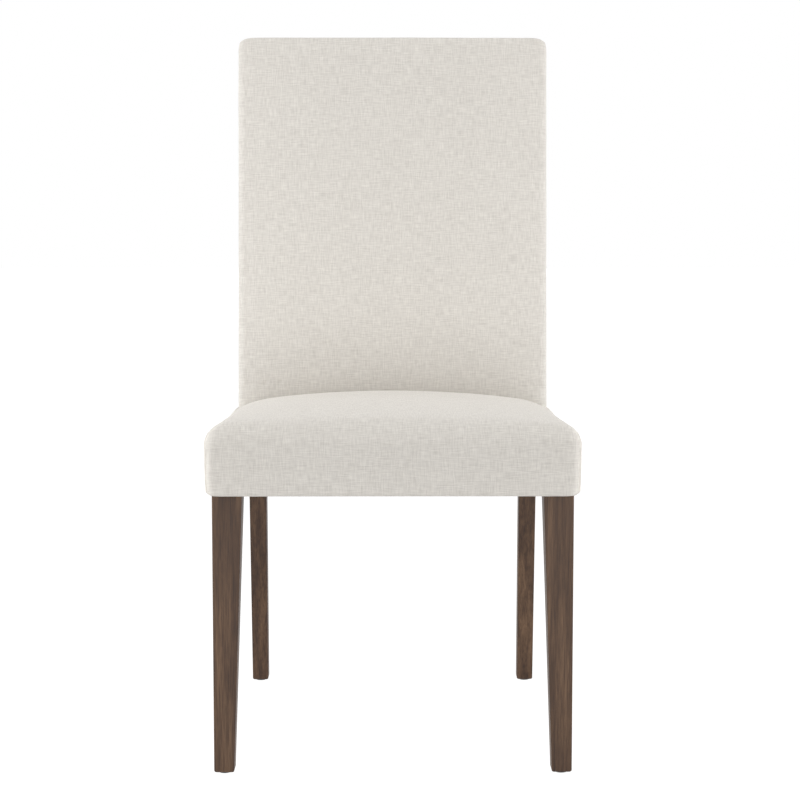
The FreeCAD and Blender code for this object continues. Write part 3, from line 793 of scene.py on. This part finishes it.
def ramped(tree, factor, stops):
    node = tree.nodes.new("ShaderNodeValToRGB")
    tree.links.new(factor, node.inputs[0])
    elements = node.color_ramp.elements
    while len(elements) < len(stops):
        elements.new(0.5)
    for element, (place, colour) in zip(elements, stops):
        element.position = place
        element.color = colour
    return node.outputs[0]


def split(tree, vector):
    """The x, y and z outputs of a vector."""
    return add(tree, "SeparateXYZ", inputs={0: vector}).node.outputs


def stretched(tree, vector, scale):
    return add(tree, "Mapping", inputs={"Vector": vector, "Scale": scale})


def cloudy(tree, vector, scale, detail=2.0, roughness=0.5, distortion=0.0):
    inputs = {"Vector": vector, "Scale": scale, "Detail": detail, "Roughness": roughness,
              "Distortion": distortion}
    return add(tree, "TexNoise", inputs=inputs)


def bumped(tree, shader, height, strength, distance):
    inputs = {"Height": height, "Strength": strength, "Distance": distance}
    tree.links.new(add(tree, "Bump", inputs=inputs), shader.inputs["Normal"])


def ray_is(tree, *kinds):
    """1 for a ray of one of these kinds, otherwise 0."""
    found = [add(tree, "LightPath", outlet=f"Is {kind} Ray") for kind in kinds]
    total = found[0]
    for other in found[1:]:
        total = calc(tree, "MAXIMUM", total, other)
    return total


def rgba(red, green, blue):
    """A colour written in 0 to 255, as the shader wants it."""
    values = []
    for value in (red, green, blue):
        share = value / 255
        values.append(share / 12.92 if share <= 0.04045 else ((share + 0.055) / 1.055) ** 2.4)
    return (*values, 1.0)


# Materials

def woven(name, dark, light, pitch, contrast, depth, roughness=0.9, sheen=0.2):
    """Plain woven cloth whose yarns differ in tone and thickness, with longer slubs, and painted shade
    where the yarns dip between each other.
    """
    made, shader = new_material(
        name, Roughness=roughness, Sheen_Weight=sheen, Sheen_Roughness=0.5, Specular_IOR_Level=0.15)
    tree = made.node_tree
    place = add(tree, "Attribute", outlet="Vector", attribute_name="weave")

    # The threads wander a little
    wander = add(tree, "TexNoise", outlet="Color", inputs={"Vector": place, "Scale": 55.0, "Detail": 2.0})
    wander = add(tree, "VectorMath", inputs={0: wander, 1: (0.5, 0.5, 0.5)}, operation="SUBTRACT")
    wander = add(tree, "VectorMath", inputs={0: wander, "Scale": pitch * 1.6}, operation="SCALE")
    bent = add(tree, "VectorMath", inputs={0: place, 1: wander}, operation="ADD")
    u, v, _ = split(tree, bent)

    def wave(position):
        return calc(tree, "SINE", calc(tree, "MULTIPLY", position, math.pi))

    def yarn(index_place, along, lengthwise):
        """Tone of one yarn, which changes slowly along it."""
        index = calc(tree, "MULTIPLY", calc(tree, "FLOOR", index_place), 3.71)
        run = calc(tree, "MULTIPLY", along, 38.0)
        pair = {0: index, 1: run} if lengthwise else {0: run, 1: index}
        where = add(tree, "CombineXYZ", inputs=pair)
        return add(tree, "TexNoise", inputs={"Vector": where, "Scale": 1.0, "Detail": 1.0},
                   noise_dimensions="2D")

    def height(own_size, crossing_size):
        """A yarn is highest along its middle, and where it crosses another's middle."""
        rise = calc(tree, "MULTIPLY_ADD", crossing_size, 0.4, 0.6)
        return calc(tree, "MULTIPLY", calc(tree, "POWER", own_size, 0.6), rise)

    warp_place = calc(tree, "DIVIDE", u, pitch)
    weft_place = calc(tree, "DIVIDE", v, pitch)
    warp_wave = wave(warp_place)
    weft_wave = wave(weft_place)
    warp_over = calc(tree, "GREATER_THAN", calc(tree, "MULTIPLY", warp_wave, weft_wave), 0.0)
    warp_size = calc(tree, "ABSOLUTE", warp_wave)
    weft_size = calc(tree, "ABSOLUTE", weft_wave)
    high = chosen(tree, warp_over, height(weft_size, warp_size), height(warp_size, weft_size))
    tone = chosen(tree, warp_over, yarn(weft_place, u, False), yarn(warp_place, v, True))
    upright = cloudy(tree, stretched(tree, bent, (600, 62, 1)), 1.0, 1.0)
    level = cloudy(tree, stretched(tree, bent, (62, 600, 1)), 1.0, 1.0)
    slubs = calc(tree, "ADD", upright, level)
    patches = cloudy(tree, place, 14.0, 2.0)
    # The yarns' height also lightens the colour on their tops and darkens it where they dip: painted
    # shade between the yarns.
    slub_share, tone_share, patch_share, painted_shade_share = 0.8, 0.35, 0.08, 0.18
    total = weighted(
        tree, (slubs, slub_share), (tone, tone_share), (patches, patch_share), (high, painted_shade_share))
    # The total's mean: slubs add two noises, and high's mean with its share is 0.11
    middle = slub_share + (tone_share + patch_share) / 2 + 0.11
    factor = calc(tree, "MULTIPLY_ADD", calc(tree, "SUBTRACT", total, middle), contrast, 0.5, True)
    tree.links.new(blend_colour(tree, factor, dark, light), shader.inputs["Base Color"])
    bumped(tree, shader, weighted(tree, (high, 0.6), (slubs, 0.7)), 0.55, depth)
    return made


def wooden(name, stops, roughness, axis=2):
    """Wood with its grain along one axis: broad streaks, fine lines, open pores."""
    made, shader = new_material(name, Specular_IOR_Level=0.35)
    tree = made.node_tree
    place = add(tree, "TexCoord", outlet="Object")
    across, along = 95.0, 5.0
    broad = [across] * 3
    fine = [across * 7] * 3
    broad[axis], fine[axis] = along, along * 5
    drift = cloudy(tree, stretched(tree, place, [s * 0.25 for s in broad]), 1.0, 2.0, 0.5, 0.4)
    streaks = cloudy(tree, stretched(tree, place, broad), 1.0, 5.0, 0.62, 0.6)
    lines = cloudy(tree, stretched(tree, place, fine), 1.0, 3.0, 0.6)
    grain = weighted(tree, (streaks, 0.45), (drift, 0.2), (lines, 0.35))
    colour = ramped(tree, grain, stops)
    pores = calc(tree, "GREATER_THAN", lines, 0.62)
    dark = tuple(c * 0.55 for c in stops[0][1][:3]) + (1.0,)
    colour = blend_colour(tree, calc(tree, "MULTIPLY", pores, 0.35), colour, dark)
    tree.links.new(colour, shader.inputs["Base Color"])
    worn = calc(tree, "MULTIPLY_ADD", lines, 0.22, roughness - 0.11)
    tree.links.new(worn, shader.inputs["Roughness"])
    bumped(tree, shader, calc(tree, "SUBTRACT", streaks, pores), 0.35, 0.0002)
    return made


def mottled(name, dark, light, scale, roughness, depth, metallic=0.0):
    """A plain stuff with fine grain in its colour, gloss and surface."""
    made, shader = new_material(name, Metallic=metallic)
    tree = made.node_tree
    place = add(tree, "TexCoord", outlet="Object")
    grain = cloudy(tree, place, scale, 4.0, 0.6)
    patches = cloudy(tree, place, scale * 0.12, 2.0)
    factor = weighted(tree, (grain, 0.6), (patches, 0.4))
    colour = ramped(tree, factor, [(0.3, dark), (0.7, light)])
    tree.links.new(colour, shader.inputs["Base Color"])
    worn = calc(tree, "MULTIPLY_ADD", grain, 0.2, roughness - 0.1)
    tree.links.new(worn, shader.inputs["Roughness"])
    bumped(tree, shader, grain, 0.4, depth)
    return made


def strapping(name, axis):
    """Woven elastic webbing: ribs along the strap, and darker stripes."""
    rib_pitch, stripe_pitch = 0.0025, 0.025
    made, shader = new_material(name, Roughness=0.75, Specular_IOR_Level=0.3)
    tree = made.node_tree
    place = add(tree, "TexCoord", outlet="Object")
    across = split(tree, place)[axis]
    ribs = calc(tree, "SINE", calc(tree, "MULTIPLY", across, 2 * math.pi / rib_pitch))
    stripes = calc(tree, "SINE", calc(tree, "MULTIPLY", across, 2 * math.pi / stripe_pitch))
    flecks = cloudy(tree, place, 900.0, 2.0)
    shade = calc(tree, "GREATER_THAN", stripes, 0.75)
    colour = blend_colour(tree, shade, rgba(196, 178, 142), rgba(96, 84, 66))
    colour = blend_colour(tree, calc(tree, "MULTIPLY", flecks, 0.4), colour, rgba(150, 134, 104))
    tree.links.new(colour, shader.inputs["Base Color"])
    bumped(tree, shader, calc(tree, "ADD", ribs, flecks), 0.5, 0.0003)
    return made


linen = woven("linen", rgba(203, 198, 191), rgba(232, 228, 221), 0.00105, 1.35, 0.00035)
thread = mottled("sewing_thread", rgba(205, 199, 189), rgba(226, 221, 213), 2600.0, 0.8, 0.00005)
stitching = mottled("stitching_thread", rgba(176, 168, 156), rgba(200, 193, 182), 2600.0, 0.8, 0.00005)
black_cloth = woven("black_cloth", rgba(22, 22, 23), rgba(48, 48, 50), 0.0009, 1.0, 0.0002, 0.95, 0.1)
walnut_stops = [
    (0.38, rgba(45, 28, 17)), (0.47, rgba(69, 48, 33)),
    (0.54, rgba(88, 65, 47)), (0.64, rgba(120, 93, 70)),
]
walnut = wooden("walnut", walnut_stops, 0.5)
pale_stops = [(0.34, rgba(176, 138, 96)), (0.5, rgba(203, 168, 124)), (0.66, rgba(221, 190, 148))]
pale_wood = wooden("frame_wood", pale_stops, 0.62, axis=0)
board = mottled("backing_board", rgba(136, 112, 84), rgba(170, 146, 114), 260.0, 0.85, 0.0002)
felt = mottled("lining_cloth", rgba(205, 204, 200), rgba(232, 231, 227), 700.0, 0.9, 0.0002)
wadding = mottled("polyester_batting", rgba(226, 226, 223), rgba(246, 246, 243), 420.0, 0.95, 0.0006)
foam = mottled("upholstery_foam", rgba(222, 205, 150), rgba(240, 228, 184), 1100.0, 0.9, 0.0004)
steel = mottled("zinc_steel", rgba(150, 152, 154), rgba(190, 191, 192), 900.0, 0.35, 0.00005, 1.0)
nylon = mottled("black_nylon", rgba(26, 26, 27), rgba(44, 44, 45), 1500.0, 0.45, 0.00005)
webbing_across = strapping("webbing_across", 1)
webbing_along = strapping("webbing_along", 0)
webbing_up = strapping("webbing_up", 2)

corner_names = ["front_left", "front_right", "rear_left", "rear_right"]
by_node = {
    walnut: ["front_leg_left", "front_leg_right", "rear_leg_left", "rear_leg_right"],
    pale_wood: [
        "front_rail", "rear_rail", "side_rail_left", "side_rail_right",
        "back_top_rail", "back_middle_rail", "back_lower_rail",
        "front_rail_dowels", "side_rail_dowels", "rear_rail_dowels", "back_rail_dowels",
        *["corner_block_" + corner for corner in corner_names]],
    steel: [
        "side_rail_screws", "corner_block_screws", "leg_bolts", "leg_bolt_washers", "leg_bolt_nuts",
        "seat_webbing_staples", "back_webbing_staples", "dust_cover_staples"],
    nylon: ["glide_" + corner for corner in corner_names],
    webbing_along: ["seat_webbing_lengthwise"],
    webbing_across: ["seat_webbing_crosswise"],
    webbing_up: ["back_webbing"],
    felt: ["seat_lining", "back_lining"],
    foam: [
        "seat_foam", "back_foam",
        "front_rail_padding", "side_rail_padding_left", "side_rail_padding_right"],
    wadding: ["seat_batting", "back_batting"],
    linen: ["seat_cover", "back_cover", "outside_back_cover"],
    black_cloth: ["dust_cover"],
    board: ["outside_back_board"],
}
for stuff, names in by_node.items():
    for name in names:
        nodes[name].data.materials.clear()
        nodes[name].data.materials.append(stuff)


def dress(obj, stuff, slot_name, *replaced):
    obj.data.materials.clear()
    obj.data.materials.append(stuff)
    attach(obj, "root")
    if replaced:
        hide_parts(*replaced)


seat = upholstered_seat()
back = upholstered_back()
panel = outside_panel()
cloth_under = dust_cover()
dress(seat, linen, "linen", "seat_cover", "seat_batting", "seat_foam", "front_rail_padding",
      "side_rail_padding_left", "side_rail_padding_right")
dress(back, linen, "linen", "back_cover", "back_batting", "back_foam")
dress(panel, linen, "linen", "outside_back_cover")
dress(cloth_under, black_cloth, "black_cloth", "dust_cover")
dress(seat_seams(seat), thread, "linen")
dress(back_seams(back), thread, "linen")
dress(panel_stitches(), stitching, "linen")


# Floor, background and light

def pale_floor():
    """A pale floor that glows to the camera, so that it fades into the background."""
    reach = 30
    corners = [(-reach, -reach, 0), (reach, -reach, 0), (reach, reach, 0), (-reach, reach, 0)]
    floor = mesh_object("floor", corners, [(0, 1, 2, 3)])
    ground, shader = new_material("floor", Roughness=0.9, Base_Color=(0.72, 0.72, 0.72, 1))
    tree = ground.node_tree
    glow_share = calc(tree, "MULTIPLY", ray_is(tree, "Camera", "Glossy"), 0.75)
    glow = add(tree, "Emission", inputs={"Strength": 1.3})
    mixed = add(tree, "MixShader", inputs={0: glow_share, 1: shader.outputs[0], 2: glow})
    tree.links.new(mixed, tree.nodes["Material Output"].inputs["Surface"])
    floor.data.materials.append(ground)
    return floor


def studio_world():
    """White all round, brighter to the camera than as light on the chair."""
    lighting, shown_more = 0.34, 0.66
    world = bpy.data.worlds.new("studio")
    bpy.context.scene.world = world
    world.use_nodes = True
    tree = world.node_tree
    background = tree.nodes["Background"]
    shown = ray_is(tree, "Camera", "Glossy", "Transmission")
    strength = calc(tree, "MULTIPLY_ADD", shown, shown_more, lighting)
    tree.links.new(strength, background.inputs["Strength"])
    background.inputs["Color"].default_value = (1, 1, 1, 1)


def area_light(name, place, target, width, height, power):
    data = bpy.data.lights.new(name, "AREA")
    data.shape = "RECTANGLE"
    data.size, data.size_y, data.energy = width, height, power
    lamp = bpy.data.objects.new(name, data)
    lamp.location = place
    lamp.rotation_euler = (Vector(target) - Vector(place)).to_track_quat("-Z", "Y").to_euler()
    bpy.context.scene.collection.objects.link(lamp)


floor = pale_floor()
studio_world()
for name, side, power in (("left_softbox", -1, 15.6), ("right_softbox", 1, 14.2)):
    area_light(name, (side * 1.4, -0.45, 0.75), (0, -0.1, 0.6), 0.9, 1.7, power)
area_light("top_softbox", (0, 0.05, 2.6), (0, 0.05, 0.6), 2.4, 1.0, 17.5)
area_light("low_fill", (0, -1.7, 0.22), (0, 0, 0.42), 1.8, 0.35, 6.2)
for name, side, power in (("rear_left_softbox", -1, 8), ("rear_right_softbox", 1, 7)):
    area_light(name, (side * 1.6, 1.4, 1.2), (0, 0.25, 0.6), 0.9, 1.4, power)

# The photograph's view, from the fit of one camera to the chair's outline and feet
camera_data = bpy.data.cameras.new("camera")
camera_data.lens = 85
camera_data.sensor_width = 36
camera = bpy.data.objects.new("camera", camera_data)
camera.location = (-0.003, -2.457 - OVERALL_DEPTH / 2000, 0.729)
camera.rotation_euler = (math.radians(84.74), 0, math.radians(-0.285))
bpy.context.scene.collection.objects.link(camera)
bpy.context.scene.camera = camera
bpy.context.scene.view_settings.view_transform = "Standard"
